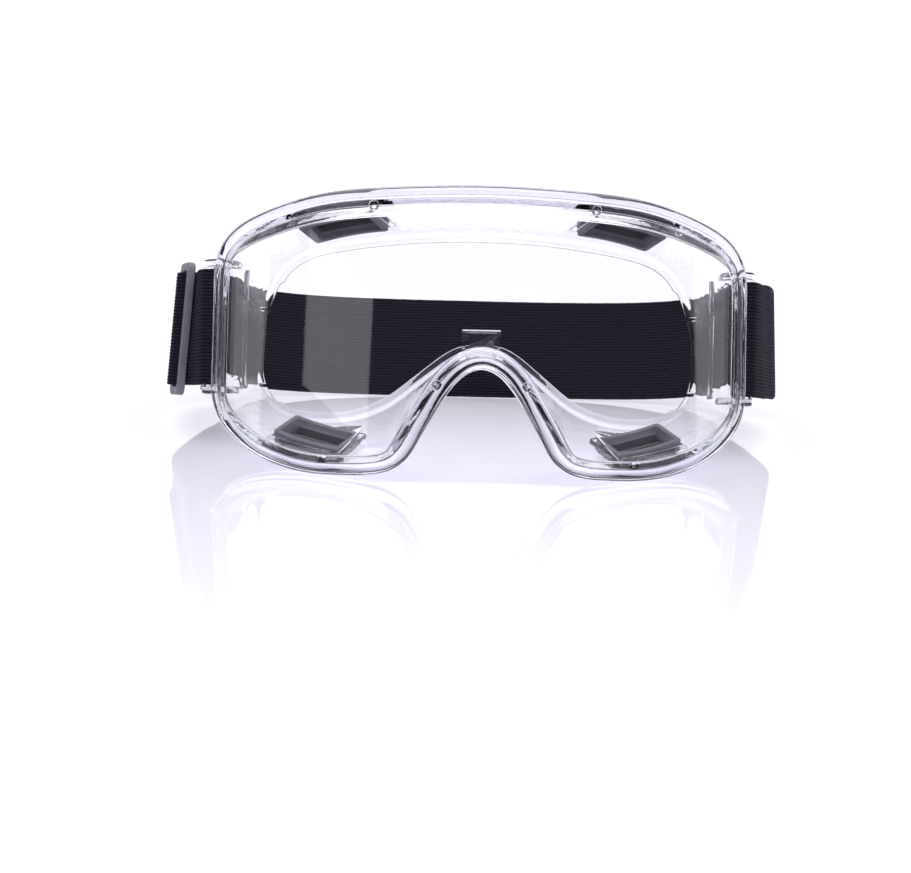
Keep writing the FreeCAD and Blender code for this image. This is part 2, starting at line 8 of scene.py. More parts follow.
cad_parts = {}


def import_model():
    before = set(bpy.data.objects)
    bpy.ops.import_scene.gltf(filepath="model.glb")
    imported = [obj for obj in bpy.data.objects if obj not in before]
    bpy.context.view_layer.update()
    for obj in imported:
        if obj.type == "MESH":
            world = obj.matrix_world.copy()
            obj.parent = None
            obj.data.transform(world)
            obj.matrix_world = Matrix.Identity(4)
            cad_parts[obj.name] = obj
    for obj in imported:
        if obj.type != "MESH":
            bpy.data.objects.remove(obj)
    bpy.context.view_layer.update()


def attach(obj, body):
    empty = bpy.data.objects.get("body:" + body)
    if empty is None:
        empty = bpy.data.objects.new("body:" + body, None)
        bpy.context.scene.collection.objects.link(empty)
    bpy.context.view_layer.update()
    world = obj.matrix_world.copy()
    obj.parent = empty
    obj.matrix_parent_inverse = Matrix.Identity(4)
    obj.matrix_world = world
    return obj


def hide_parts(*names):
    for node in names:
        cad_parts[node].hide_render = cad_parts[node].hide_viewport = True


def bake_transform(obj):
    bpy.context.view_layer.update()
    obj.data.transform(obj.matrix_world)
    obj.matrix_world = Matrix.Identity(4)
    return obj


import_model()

# Chemical-splash safety goggles. Shapes are worked out in the goggles' own upright frame, in
# millimetres (u to the wearer's left, v towards the face, w up), and then leaned back and set
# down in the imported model's frame, in metres.

MM = 0.001
LEAN = math.radians(12.5)
CENTRE_V = 77.1            # middle of the whole object, front to back
TABLE_W = -3.7             # table level below the leaned frame's origin

WRAP_RADIUS = 120.0        # the front curves back as u * u / (2 * WRAP_RADIUS)
RIM_DEPTH = 8.2
BEAD_WIDTH = 3.4
SKIRT_INSET = BEAD_WIDTH - 0.8  # where the skirt's outside leaves the back of the rim
WALL = 1.8
GROOVE_FRONT = 2.4
GROOVE_BACK = 4.8
GROOVE_REACH = 3.2
LENS_GAP = 0.1
FLANGE_WIDTH = 4.0
FLANGE_THICK = 1.6
FLANGE_SLITS = (27.2, 39.9, 52.6)
SLIT_U = 70.5
SLIT_REACH = 1.8
SLIT_V = (53.0, 59.0)
SLIT_WIDTH = 1.0

LUG_U = 87.6
LUG_V = 43.0
LUG_W = 46.0
LUG_BAR_RADIUS = 1.9
LUG_ARM = 2.4
LUG_ROOM = 0.8
LUG_PLAN = [(78.6, 39.6), (81.6, 35.4), (88.4, 40.6), (89.4, 42.4), (89.5, 44.0), (88.4, 45.2),
            (86.6, 45.2), (78.0, 44.6)]

STRAP_WIDTH = 37.2
STRAP_THICK = 1.2
STRAP_GAP = 0.15
STRAP_REAR_V = 139.7
STRAP_SPLIT_V = 112.0      # where the side stretches meet the rear band
EXIT_END_V = 88.0          # where the webbing behind the slider stops stretching with it
STRAP_LIFT = 5.3
RIBS = 34                  # ribs across the webbing
RIB_HEIGHT = 0.3

SLIDER_WEB = (96.2, 57.0)
SLIDER_HEADING = 21.0
SLIDER_LENGTH = 44.0
SLIDER_BAR = 2.2
SLIDER_BAR_AT = 5.1
SLIDER_THICK = 2.6
SLIDER_PIN_RADIUS = 0.8
SLIDER_GAP = 0.35
FLARE_SLIDER_SIDE = 4.0
FLARE_SEWN_SIDE = 2.0
FLARE_REACH = 100.0
FLARE_START_V = 45.0
FLARE_FULL_V = 50.5

STITCHES = 11
STITCH_PITCH = 3.2
STITCH_LENGTH = 2.4
STITCH_STEPS = 6
STITCH_SUNK = 0.12
STITCH_ARCH = 0.42
SEWN_END_ROWS = (1.2, 2.8)      # distance of each row from the webbing's ends
TAIL_ROWS = (3.0, 7.0, 11.0)
THREAD_SIDES = 8

BEVEL_SEGMENTS = 3
TURNED_SEGMENTS = 40
PIN_SEGMENTS = 24

# Half of the frame, from the top centre round the wearer's left side to the nose centre:
# rim outline (u, w), width of the rim's front, face opening (u, w, v).
STATIONS = [
    (0.0, 87.5, 8.4, 0.0, 74.0, 32.0),
    (22.0, 87.1, 8.4, 21.5, 73.5, 35.0),
    (43.0, 86.2, 8.4, 42.5, 71.6, 42.0),
    (57.5, 83.9, 8.3, 55.5, 69.0, 48.5),
    (69.4, 80.3, 8.0, 62.3, 64.6, 53.0),
    (78.6, 75.4, 7.2, 65.6, 59.2, 55.3),
    (83.9, 67.5, 5.8, 68.0, 53.0, 56.3),
    (84.8, 57.0, 5.3, 69.4, 47.8, 56.8),
    (84.9, 46.0, 5.3, 70.0, 42.6, 57.0),
    (85.0, 35.0, 5.3, 69.8, 36.8, 56.8),
    (84.8, 24.5, 5.3, 69.2, 30.0, 56.2),
    (82.0, 16.3, 5.5, 65.9, 24.0, 54.6),
    (75.8, 9.6, 5.8, 60.8, 20.6, 50.8),
    (66.6, 4.1, 6.0, 54.4, 19.3, 45.8),
    (53.5, 0.5, 6.0, 47.2, 19.1, 40.4),
    (40.5, 0.0, 6.0, 40.2, 19.9, 35.8),
    (29.6, 0.9, 6.2, 33.6, 22.0, 31.6),
    (22.4, 5.0, 6.6, 27.6, 25.2, 27.8),
    (18.4, 11.3, 6.8, 21.8, 29.6, 24.4),
    (14.8, 17.6, 6.8, 16.2, 34.0, 21.6),
    (11.0, 24.0, 6.8, 10.8, 38.0, 19.8),
    (6.0, 30.0, 6.8, 5.4, 40.4, 19.1),
    (0.0, 32.6, 6.8, 0.0, 41.0, 19.0),
]
SAMPLES_PER_STATION = 8
CORNER_STEPS = 4           # points on each rounded corner of the moulded section
CORNER_SHARE = 0.42        # most of a side that a rounded corner may take
OPENING_CORNERS = (13, 14)  # the section's two corners at the face opening
EYE_CUT = 0.9              # how far the opening is wider beside the eyes
EYE_CUT_FROM = 4.55        # the stations where that starts and ends
EYE_CUT_TO = 11.3
EYE_CUT_SLOPE = 9.0

NUBS = [(33.5, 81.4), (13.4, 27.6)]
NUB_RADIUS = 1.6
NOTCH_U = 48.0
NOTCH_W = 3.6
NOTCH_RISE = 4.0
NOTCH_WIDTH = 2.8
NOTCH_DEPTH = 2.3

# Nose tab: its plate and the raised bars round it, as (low, high) along u, v and w.
TAB_PLATE = ((-5.9, 5.9), (17.4, 19.0), (37.6, 45.4))
TAB_BORDER = [
    ((-5.9, -4.9), (16.8, 17.8), (39.5, 45.4)),
    ((4.9, 5.9), (16.8, 17.8), (39.5, 45.4)),
    ((-5.2, 5.2), (16.81, 17.79), (44.4, 45.39)),
]

# Vents: name, side, place in the list of stations, turn on the wall, half length, setback.
VENTS = [
    ("top_left", 1, 2.3, 3.0, 12.9, 4.6),
    ("top_right", -1, 2.3, 3.0, 12.9, 4.6),
    ("bottom_left", 1, 13.75, -4.0, 12.6, 6.6),
    ("bottom_right", -1, 13.75, -4.0, 12.6, 6.6),
]
VENT_HALF_DEPTH = 6.5
VENT_BORDER = 2.2
VENT_PAD = 1.4
PAD_RISE = 0.12            # how far the pad round a vent stands off both sides of the wall
BEZEL_BOW = 0.8            # how far the ends of each half bend inwards
CAP_BOW = 0.45
SEAT_GAP = 0.2             # clearance round a vent in its pocket
SEAT_REACH = 7.0           # depth that the pockets are cut to, each side of the wall

RIB_STATION = 8
RIB_PLACE = 0.62
RIB_LOW = 26.0
RIB_HIGH = 66.0


# ---- places and meshes ---------------------------------------------
def world(points):
    """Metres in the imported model's frame for (u, v, w) millimetres."""
    p = np.asarray(points, float)
    u, v, w = p[..., 0], p[..., 1], p[..., 2]
    y = v * math.cos(LEAN) + w * math.sin(LEAN) - CENTRE_V
    z = w * math.cos(LEAN) - v * math.sin(LEAN) - TABLE_W
    return np.stack([u, y, z], -1) * MM


def place(point):
    return Vector([float(c) for c in world(point)])


def mesh_piece(name, verts, faces, material=None):
    """Smooth-shaded mesh object from vertices in metres."""
    data = bpy.data.meshes.new(name)
    verts = [tuple(float(c) for c in v) for v in verts]
    data.from_pydata(verts, [], [tuple(int(i) for i in f) for f in faces])
    data.validate()
    data.shade_smooth()
    obj = bpy.data.objects.new(name, data)
    bpy.context.scene.collection.objects.link(obj)
    if material is not None:
        data.materials.append(material)
    return obj


def solid(name, points, faces, material=None):
    """Closed piece from (u, v, w) points, with every face turned outwards."""
    obj = mesh_piece(name, world([tuple(p) for p in points]), faces, material)
    bm = bmesh.new()
    bm.from_mesh(obj.data)
    bmesh.ops.recalc_face_normals(bm, faces=bm.faces)
    bm.to_mesh(obj.data)
    bm.free()
    return obj


def strip_faces(rows, columns, closed_rows, closed_columns):
    """Quads of a grid of rows by columns, numbered row by row."""
    faces = []
    for i in range(rows if closed_rows else rows - 1):
        for j in range(columns if closed_columns else columns - 1):
            a = i * columns + j
            b = i * columns + (j + 1) % columns
            below = ((i + 1) % rows) * columns
            faces.append((a, b, below + (j + 1) % columns, below + j))
    return faces


def baked(obj):
    """Replace an object's mesh by what its modifiers make of it."""
    bpy.context.view_layer.update()
    graph = bpy.context.evaluated_depsgraph_get()
    data = bpy.data.meshes.new_from_object(obj.evaluated_get(graph))
    obj.modifiers.clear()
    obj.data = data
    return obj


def rounded(obj, width, segments=BEVEL_SEGMENTS, above=None):
    """Bevel an object's sharp edges: above Blender's usual angle, or above one in degrees."""
    soft = obj.modifiers.new("round", "BEVEL")
    soft.width = width * MM
    soft.segments = segments
    if above is not None:
        soft.limit_method = "ANGLE"
        soft.angle_limit = math.radians(above)
    return baked(obj)


def surfaced(obj, material, sharp):
    """Smooth shading that breaks at edges above an angle in degrees, and one material."""
    obj.data.shade_smooth()
    obj.data.set_sharp_from_angle(angle=math.radians(sharp))
    obj.data.materials.clear()
    obj.data.materials.append(material)


def periodic(values, per_span):
    """Periodic cubic through rows of values, sampled per_span times between neighbours."""
    values = np.asarray(values, float)
    n = len(values)
    matrix = np.zeros((n, n))
    for i in range(n):
        matrix[i, i] = 4.0
        matrix[i, (i + 1) % n] += 1.0
        matrix[i, (i - 1) % n] += 1.0
    bend = 6.0 * (np.roll(values, -1, 0) - 2.0 * values + np.roll(values, 1, 0))
    second = np.linalg.solve(matrix, bend)
    after, second_after = np.roll(values, -1, 0), np.roll(second, -1, 0)
    out = []
    for k in range(per_span):
        t = k / per_span
        s = 1.0 - t
        curl = ((s ** 3 - s) * second + (t ** 3 - t) * second_after) / 6.0
        out.append(s * values + t * after + curl)
    return np.stack(out, 1).reshape(n * per_span, -1)


def open_spline(points):
    """Natural cubic through points, spaced by chord length: gives a function of distance."""
    points = np.asarray(points, float)
    step = np.linalg.norm(np.diff(points, axis=0), axis=1)
    at = np.concatenate([[0.0], np.cumsum(step)])
    n = len(points)
    matrix = np.zeros((n, n))
    right = np.zeros_like(points)
    matrix[0, 0] = matrix[-1, -1] = 1.0
    for i in range(1, n - 1):
        matrix[i, i - 1] = step[i - 1]
        matrix[i, i] = 2.0 * (step[i - 1] + step[i])
        matrix[i, i + 1] = step[i]
        slope_on = (points[i + 1] - points[i]) / step[i]
        slope_back = (points[i] - points[i - 1]) / step[i - 1]
        right[i] = 6.0 * (slope_on - slope_back)
    second = np.linalg.solve(matrix, right)

    def value(t):
        t = np.asarray(t, float)
        i = np.clip(np.searchsorted(at, t, side="right") - 1, 0, n - 2)
        h = step[i][:, None]
        a = ((at[i + 1] - t)[:, None]) / h
        b = 1.0 - a
        bend = ((a ** 3 - a) * second[i] + (b ** 3 - b) * second[i + 1]) * h * h / 6.0
        return a * points[i] + b * points[i + 1] + bend

    return value, at[-1]


def front(u):
    """How far back the wrapped front lies at a distance from the middle."""
    return u * u / (2.0 * WRAP_RADIUS)


def mirrored(half):
    """Half a loop of stations made whole, without doubling the two on the middle line."""
    return list(half) + [(-row[0],) + tuple(row[1:]) for row in half[-2:0:-1]]


# ---- materials ------------------------------------------------------
PLASTIC_GRAIN = 2600.0


def new_material(name):
    """A material with its node tree, shader and output."""
    material = bpy.data.materials.new(name)
    material.use_nodes = True
    nodes = material.node_tree.nodes
    return material, material.node_tree, nodes["Principled BSDF"], nodes["Material Output"]


def join(tree, node, inputs):
    """Link each input that is given a socket, and set the others."""
    for name, value in inputs.items():
        if isinstance(value, bpy.types.NodeSocket):
            tree.links.new(value, node.inputs[name])
        else:
            node.inputs[name].default_value = value


def add(tree, kind, inputs, **settings):
    node = tree.nodes.new("ShaderNode" + kind)
    for name, value in settings.items():
        setattr(node, name, value)
    join(tree, node, inputs)
    return node


def coordinates(tree, kind="Object"):
    return add(tree, "TexCoord", {}).outputs[kind]


def noise(tree, vector, scale, detail=3.0, roughness=0.55):
    inputs = {"Vector": vector, "Scale": scale, "Detail": detail, "Roughness": roughness}
    return add(tree, "TexNoise", inputs).outputs["Fac"]


def wave(tree, vector, direction, inputs):
    node = add(tree, "TexWave", {"Vector": vector, **inputs}, bands_direction=direction)
    return node.outputs["Fac"]


def ramp(tree, source, stops):
    node = add(tree, "ValToRGB", {"Fac": source})
    elements = node.color_ramp.elements
    while len(elements) < len(stops):
        elements.new(0.5)
    for element, (at, colour) in zip(elements, stops):
        element.position = at
        element.color = (*colour, 1.0)
    return node.outputs["Color"]


def spread(tree, source, low, high):
    inputs = {"Value": source, "To Min": low, "To Max": high}
    return add(tree, "MapRange", inputs).outputs["Result"]


def multiplied(tree, first, second):
    return add(tree, "Math", {0: first, 1: second}, operation="MULTIPLY").outputs["Value"]


def mixed(tree, factor, first, second, blend="MIX"):
    inputs = {"Factor": factor, "A": first, "B": second}
    return add(tree, "Mix", inputs, data_type="RGBA", blend_type=blend).outputs["Result"]


def bump(tree, height, strength, distance, **normal):
    inputs = {"Height": height, "Strength": strength, "Distance": distance, **normal}
    return add(tree, "Bump", inputs).outputs["Normal"]


def clear_material(name, ior, tint, stops, rough, dents, depth, haze):
    """Clear moulded plastic: bends light, lets lamps through, with a faint uneven surface."""
    material, tree, shader, output = new_material(name)
    where = coordinates(tree)
    cloud = noise(tree, where, 60.0, 4.0)
    join(tree, shader, {
        "Transmission Weight": 1.0,
        "IOR": ior,
        "Base Color": ramp(tree, cloud, stops),
        "Roughness": spread(tree, cloud, *rough),
        "Normal": bump(tree, noise(tree, where, dents, 2.0), 0.25, depth),
    })
    absorb = add(tree, "VolumeAbsorption", {"Color": (*tint, 1.0), "Density": haze})
    clear = add(tree, "BsdfTransparent", {"Color": (0.965, 0.965, 0.98, 1.0)})
    mix = add(tree, "MixShader", {
        "Fac": add(tree, "LightPath", {}).outputs["Is Shadow Ray"],
        1: shader.outputs["BSDF"],
        2: clear.outputs["BSDF"],
    })
    join(tree, output, {"Surface": mix.outputs["Shader"], "Volume": absorb.outputs["Volume"]})
    return material


def vinyl_material():
    stops = [(0.3, (0.955, 0.955, 0.975)), (0.7, (0.985, 0.985, 0.992))]
    tint = (0.80, 0.80, 0.88)
    return clear_material("clear_vinyl", 1.5, tint, stops, (0.01, 0.05), 180.0, 0.0004, 60.0)


def lens_material():
    stops = [(0.3, (0.985, 0.985, 0.99)), (0.7, (0.997, 0.997, 1.0))]
    tint = (0.8, 0.84, 0.9)
    return clear_material("clear_lens", 1.52, tint, stops, (0.0, 0.012), 30.0, 0.0001, 8.0)


def plastic_material(name, dark, light, rough):
    """Satin moulded plastic with a fine spark-eroded grain and a painted highlight on its sharp
    edges.
    """
    material, tree, shader, _ = new_material(name)
    where = coordinates(tree)
    cloud = noise(tree, where, 140.0, 5.0)
    body = ramp(tree, cloud, [(0.3, dark), (0.75, light)])
    # Paler colour on the sharp convex edges: a painted highlight where the edges would catch the
    # light.
    edge = ramp(tree, add(tree, "NewGeometry", {}).outputs["Pointiness"],
                [(0.50, (0, 0, 0)), (0.60, (1, 1, 1))])
    edge_highlight = (*[min(1.0, c * 1.9) for c in light], 1.0)
    join(tree, shader, {
        "Base Color": mixed(tree, edge, body, edge_highlight),
        "Roughness": spread(tree, cloud, *rough),
        "Normal": bump(tree, noise(tree, where, PLASTIC_GRAIN, 3.0, 0.7), 0.35, 0.00006),
    })
    return material


def webbing_material():
    """Black knitted elastic: cross threads between the ribs, painted shade in the grooves between
    ribs and threads, lint and uneven dye.
    """
    material, tree, shader, _ = new_material("elastic_webbing")
    uv = add(tree, "UVMap", {}, uv_map="weave").outputs["UV"]
    picks = wave(tree, uv, "X", {"Scale": 0.62, "Distortion": 0.25, "Detail": 1.0})
    ribs = wave(tree, uv, "Y", {"Scale": 0.287, "Phase Offset": -math.pi / 2.0})
    fuzz = noise(tree, uv, 5.0, 6.0, 0.7)
    # Darker in the grooves between the ribs and between the cross threads: painted shade, with
    # random fuzz in the tone.
    weave = multiplied(tree, multiplied(tree, picks, fuzz), spread(tree, ribs, 0.15, 1.5))
    colour = ramp(tree, weave, [(0.03, (0.003, 0.003, 0.008)), (0.6, (0.026, 0.027, 0.047))])
    tone = ramp(tree, noise(tree, uv, 0.12, 3.0), [(0.3, (0.7, 0.7, 0.72)), (0.7, (1, 1, 1))])
    lint = ramp(tree, noise(tree, uv, 1.1, 1.0, 0.4), [(0.80, (0, 0, 0)), (0.84, (1, 1, 1))])
    # Uneven dye over the painted groove shade.
    dyed_and_shaded = mixed(tree, 0.5, colour, tone, "MULTIPLY")
    threads = bump(tree, picks, 0.6, 0.00012)
    join(tree, shader, {
        "Base Color": mixed(tree, lint, dyed_and_shaded, (0.14, 0.14, 0.17, 1.0)),
        "Roughness": spread(tree, fuzz, 0.62, 0.9),
        "Specular IOR Level": 0.12,
        "Sheen Weight": 0.05,
        "Sheen Roughness": 0.45,
        "Sheen Tint": (0.6, 0.62, 0.75, 1.0),
        "Normal": bump(tree, fuzz, 0.45, 0.00012, Normal=threads),
    })
    return material


def thread_material():
    """Twisted sewing thread, with painted shade in the grooves of its twist."""
    material, tree, shader, _ = new_material("thread")
    twist = wave(tree, coordinates(tree), "DIAGONAL", {"Scale": 900.0})
    # Darker in the grooves between the plies of the twist: painted shade.
    twist_shade_colours = [(0.2, (0.008, 0.008, 0.012)), (0.8, (0.045, 0.045, 0.06))]
    join(tree, shader, {
        "Base Color": ramp(tree, twist, twist_shade_colours),
        "Roughness": spread(tree, twist, 0.45, 0.7),
        "Normal": bump(tree, twist, 0.5, 0.0001),
    })
    return material


# ---- frame ---------------------------------------------------------
RIM = np.array([row[:2] for row in mirrored([(s[0], s[1]) for s in STATIONS])])
BAND = np.array([row[1] for row in mirrored([(s[0], s[2]) for s in STATIONS])])
OPENING = np.array(mirrored([(s[3], s[4], s[5]) for s in STATIONS]))


def inward_normals(loop):
    """Unit vectors in the u-w plane that point into the loop, one a station."""
    n = len(loop)
    fine = periodic(loop, 64)
    tangent = (np.roll(fine, -1, 0) - np.roll(fine, 1, 0))[::64][:n]
    tangent /= np.linalg.norm(tangent, axis=1)[:, None]
    normals = np.stack([-tangent[:, 1], tangent[:, 0]], 1)
    return normals if normals[:3, 1].sum() < 0 else -normals


RIM_NORMALS = inward_normals(RIM)
OPENING_NORMALS = inward_normals(OPENING[:, :2])


def rim_ring(inset, depth):
    """Stations of a ring at a distance inside the rim outline and a depth behind the front."""
    step = np.broadcast_to(inset, BAND.shape)
    p = RIM + RIM_NORMALS * step[:, None]
    return np.stack([p[:, 0], front(p[:, 0]) + depth, p[:, 1]], 1)


def opening_ring(outset, back):
    """Stations of a ring outside the face opening, set back from its plane."""
    p = OPENING[:, :2] - OPENING_NORMALS * outset
    return np.stack([p[:, 0], OPENING[:, 2] - back, p[:, 1]], 1)


def side_step(count):
    """Share of the cut beside the eyes, from 0 to 1, with a small step at each end."""
    station = np.arange(count) / SAMPLES_PER_STATION
    on_half = np.minimum(station, len(RIM) - station)
    starting = np.clip((on_half - EYE_CUT_FROM) * EYE_CUT_SLOPE, 0, 1)
    return starting * np.clip((EYE_CUT_TO - on_half) * EYE_CUT_SLOPE, 0, 1)


def frame_sections():
    """Rounded section points (sample, point, uvw) all round the frame."""
    inside = np.minimum(SKIRT_INSET + WALL, BAND - 0.8)
    corners = [
        (rim_ring(0.0, 1.0), 0.9),
        (rim_ring(1.0, 0.0), 0.9),
        (rim_ring(SKIRT_INSET, 0.0), 0.7),
        (rim_ring(BEAD_WIDTH, 1.0), 0.35),
        (rim_ring(BAND - 0.6, 1.1), 0.3),
        (rim_ring(BAND, 1.6), 0.3),
        (rim_ring(BAND, GROOVE_FRONT), 0.12),
        (rim_ring(BAND - GROOVE_REACH, GROOVE_FRONT), 0.08),
        (rim_ring(BAND - GROOVE_REACH, GROOVE_BACK), 0.08),
        (rim_ring(BAND, GROOVE_BACK), 0.12),
        (rim_ring(BAND, GROOVE_BACK + 1.2), 0.4),
        (rim_ring(inside, RIM_DEPTH - 0.8), 1.2),
        (opening_ring(FLANGE_WIDTH - WALL, FLANGE_THICK), 0.7),
        (opening_ring(0.0, FLANGE_THICK), 0.25),
        (opening_ring(0.0, 0.0), 0.25),
        (opening_ring(FLANGE_WIDTH, 0.0), 1.3),
        (rim_ring(SKIRT_INSET, RIM_DEPTH), 0.8),
        (rim_ring(0.8, RIM_DEPTH), 0.6),
        (rim_ring(0.0, RIM_DEPTH - 0.8), 0.6),
    ]
    rings = [periodic(ring, SAMPLES_PER_STATION) for ring, _ in corners]
    step = side_step(len(rings[0]))
    normals = periodic(OPENING_NORMALS, SAMPLES_PER_STATION)
    for k in OPENING_CORNERS:
        rings[k][:, 0] -= normals[:, 0] * step * EYE_CUT
        rings[k][:, 2] -= normals[:, 1] * step * EYE_CUT
    points = []
    for k, (_, radius) in enumerate(corners):
        here, before, after = rings[k], rings[k - 1], rings[(k + 1) % len(rings)]
        back, on = before - here, after - here
        back_length = np.linalg.norm(back, axis=1)[:, None]
        on_length = np.linalg.norm(on, axis=1)[:, None]
        start = here + back / back_length * np.minimum(radius, CORNER_SHARE * back_length)
        end = here + on / on_length * np.minimum(radius, CORNER_SHARE * on_length)
        for i in range(CORNER_STEPS):
            t = i / (CORNER_STEPS - 1)
            points.append((1 - t) ** 2 * start + 2 * t * (1 - t) * here + t * t * end)
    return np.stack(points, 1)


def frame_skin():
    points = frame_sections()
    samples, per_section, _ = points.shape
    faces = strip_faces(samples, per_section, True, True)
    return solid("frame_vinyl", points.reshape(-1, 3), faces)


def skirt_value(ring, at):
    """Point of a station ring at a fractional place."""
    fine = periodic(ring, 100)
    return fine[int(round(at * 100)) % len(fine)]


def vent_seat(side, at, turn, setback):
    """Origin and axes of a vent on the skirt wall: a along the rim, b to the back, c outwards."""
    front_ring = rim_ring(SKIRT_INSET, RIM_DEPTH)
    fore = skirt_value(front_ring, at)
    aft = skirt_value(opening_ring(FLANGE_WIDTH, 0.0), at)
    reach = Vector(aft - fore).normalized()
    along_rim = skirt_value(front_ring, at + 0.5) - skirt_value(front_ring, at - 0.5)
    a_axis = Vector(along_rim).normalized()
    b_axis = (reach - a_axis * reach.dot(a_axis)).normalized()
    origin = Vector(fore) + b_axis * (VENT_HALF_DEPTH + setback)
    swing = math.radians(turn)
    a_axis = a_axis * math.cos(swing) + b_axis * math.sin(swing)
    b_axis = (b_axis - a_axis * b_axis.dot(a_axis)).normalized()
    c_axis = a_axis.cross(b_axis)
    if c_axis.z * (origin.z - LUG_W) < 0:
        c_axis = -c_axis
    if side < 0:
        flip = Matrix.Diagonal((-1.0, 1.0, 1.0))
        origin, b_axis, c_axis = flip @ origin, flip @ b_axis, flip @ c_axis
    return origin, b_axis.cross(c_axis), b_axis, c_axis


def vents():
    """Name, seat and half length of each vent."""
    return [(name, vent_seat(side, at, turn, setback), half)
            for name, side, at, turn, half, setback in VENTS]


def rounded_box(name, size, origin, axes, radius):
    """Box with rounded edges from (low, high) pairs along three axes through an origin."""
    verts = []
    for z in size[2]:
        for y in size[1]:
            for x in size[0]:
                verts.append(origin + axes[0] * x + axes[1] * y + axes[2] * z)
    faces = [(0, 1, 3, 2), (4, 6, 7, 5), (0, 4, 5, 1), (2, 3, 7, 6), (0, 2, 6, 4), (1, 5, 7, 3)]
    obj = solid(name, verts, faces)
    return rounded(obj, radius) if radius > 0 else obj


def tube_faces(rings, columns):
    """Quads of a tube of rings, and a face over each end."""
    faces = strip_faces(rings, columns, False, True)
    faces.append(tuple(range(columns))[::-1])
    faces.append(tuple(range((rings - 1) * columns, rings * columns)))
    return faces


def turned(name, profile, origin, axes):
    """Solid of revolution: (radius, height) pairs about the third axis through an origin."""
    verts = []
    for radius, height in profile:
        for i in range(TURNED_SEGMENTS):
            a = 2.0 * math.pi * i / TURNED_SEGMENTS
            spoke = axes[0] * (radius * math.cos(a)), axes[1] * (radius * math.sin(a))
            verts.append(origin + spoke[0] + spoke[1] + axes[2] * height)
    faces = tube_faces(len(profile), TURNED_SEGMENTS)
    return solid(name, verts, faces)


UPRIGHT = (Vector((1, 0, 0)), Vector((0, 1, 0)), Vector((0, 0, 1)))
FORWARD = (Vector((1, 0, 0)), Vector((0, 0, 1)), Vector((0, -1, 0)))


def lug_pieces(side):
    """Two rounded arms and the upright bar that the strap goes round."""
    low = LUG_W - STRAP_WIDTH / 2.0 - LUG_ROOM - LUG_ARM
    high = LUG_W + STRAP_WIDTH / 2.0 + LUG_ROOM
    made = []
    for w in (low, high):
        count = len(LUG_PLAN)
        verts = [(side * u, v, w + h) for h in (0.0, LUG_ARM) for u, v in LUG_PLAN]
        faces = [tuple(range(count)), tuple(range(count, 2 * count))]
        faces += [(i, (i + 1) % count, count + (i + 1) % count, count + i) for i in range(count)]
        made.append(rounded(solid("lug_arm", verts, faces), 0.5))
    origin = Vector((side * LUG_U, LUG_V, low + 0.3))
    profile = [(LUG_BAR_RADIUS, 0.0), (LUG_BAR_RADIUS, high - low + LUG_ARM - 0.6)]
    made.append(turned("lug_bar", profile, origin, UPRIGHT))
    return made


def side_rib(side):
    """Upright stiffening rib outside the side wall."""
    fore = rim_ring(SKIRT_INSET, RIM_DEPTH)[RIB_STATION]
    aft = opening_ring(FLANGE_WIDTH, 0.0)[RIB_STATION]
    reach = Vector((aft[0] - fore[0], aft[1] - fore[1], 0)).normalized()
    base = Vector(fore + (aft - fore) * RIB_PLACE)
    out = Vector((-reach.y, reach.x, 0))
    if out.x < 0:
        out = -out
    out, base = [Vector((side * p.x, p.y, 0)) for p in (out, base)]
    axes = (Vector((0, 0, 1)).cross(out), Vector((0, 0, 1)), out)
    size = ((-0.7, 0.7), (RIB_LOW, RIB_HIGH), (-0.8, 0.9))
    return rounded_box("side_rib", size, base, axes, 0.35)


def nub(u, w):
    """Round head of the pin that holds the lens, with a dimple in its middle."""
    origin = Vector((u, front(u) + 1.9, w))
    profile = [(NUB_RADIUS, 0.0), (NUB_RADIUS, 1.4), (NUB_RADIUS - 0.12, 1.6),
               (NUB_RADIUS - 0.4, 1.72), (0.55, 1.74), (0.3, 1.6)]
    return turned("nub", profile, origin, FORWARD)


def upright_box(name, size, radius=0.0):
    return rounded_box(name, size, Vector((0, 0, 0)), UPRIGHT, radius)


def vent_block(name, half, depth, heights, seat, radius=0.0):
    """Box centred on a vent's seat, between two heights off the wall."""
    origin, *axes = seat
    return rounded_box(name, ((-half, half), (-depth, depth), heights), origin, axes, radius)


def frame_additions():
    """Solids joined to the skin: lugs, ribs, pin heads, the pads round the vents, the nose tab."""
    added = []
    for side in (-1, 1):
        added += lug_pieces(side)
        added.append(side_rib(side))
        added += [nub(side * u, w) for u, w in NUBS]
    for _, seat, half in vents():
        added.append(vent_block("pad", half + VENT_PAD, VENT_HALF_DEPTH + VENT_PAD,
                                (-WALL - PAD_RISE, PAD_RISE), seat, 0.3))
    added.append(upright_box("tab", TAB_PLATE, 0.55))
    return added + [upright_box("tab_border", bar, 0.3) for bar in TAB_BORDER]


def seat_cuts(low, high):
    """Pockets that seat the vents, from a low to a high distance off the wall."""
    return [vent_block("seat", half + SEAT_GAP, VENT_HALF_DEPTH + SEAT_GAP, (low, high), seat)
            for _, seat, half in vents()]


def small_cuts():
    """Vent windows through the wall, slits through the flange and notches in the lip."""
    cuts = []
    for _, seat, half in vents():
        reach = SEAT_REACH + 0.1
        cuts.append(vent_block("window", half - VENT_BORDER, VENT_HALF_DEPTH - VENT_BORDER,
                               (-reach, reach), seat))
    for side in (-1, 1):
        for w in FLANGE_SLITS:
            slit = ((side * SLIT_U - SLIT_REACH, side * SLIT_U + SLIT_REACH), SLIT_V,
                    (w, w + SLIT_WIDTH))
            cuts.append(upright_box("slit", slit))
        u = side * NOTCH_U
        notch = ((u - NOTCH_WIDTH / 2.0, u + NOTCH_WIDTH / 2.0),
                 (front(u) - 0.1, front(u) + NOTCH_DEPTH), (NOTCH_W, NOTCH_W + NOTCH_RISE))
        cuts.append(upright_box("notch", notch))
    return cuts


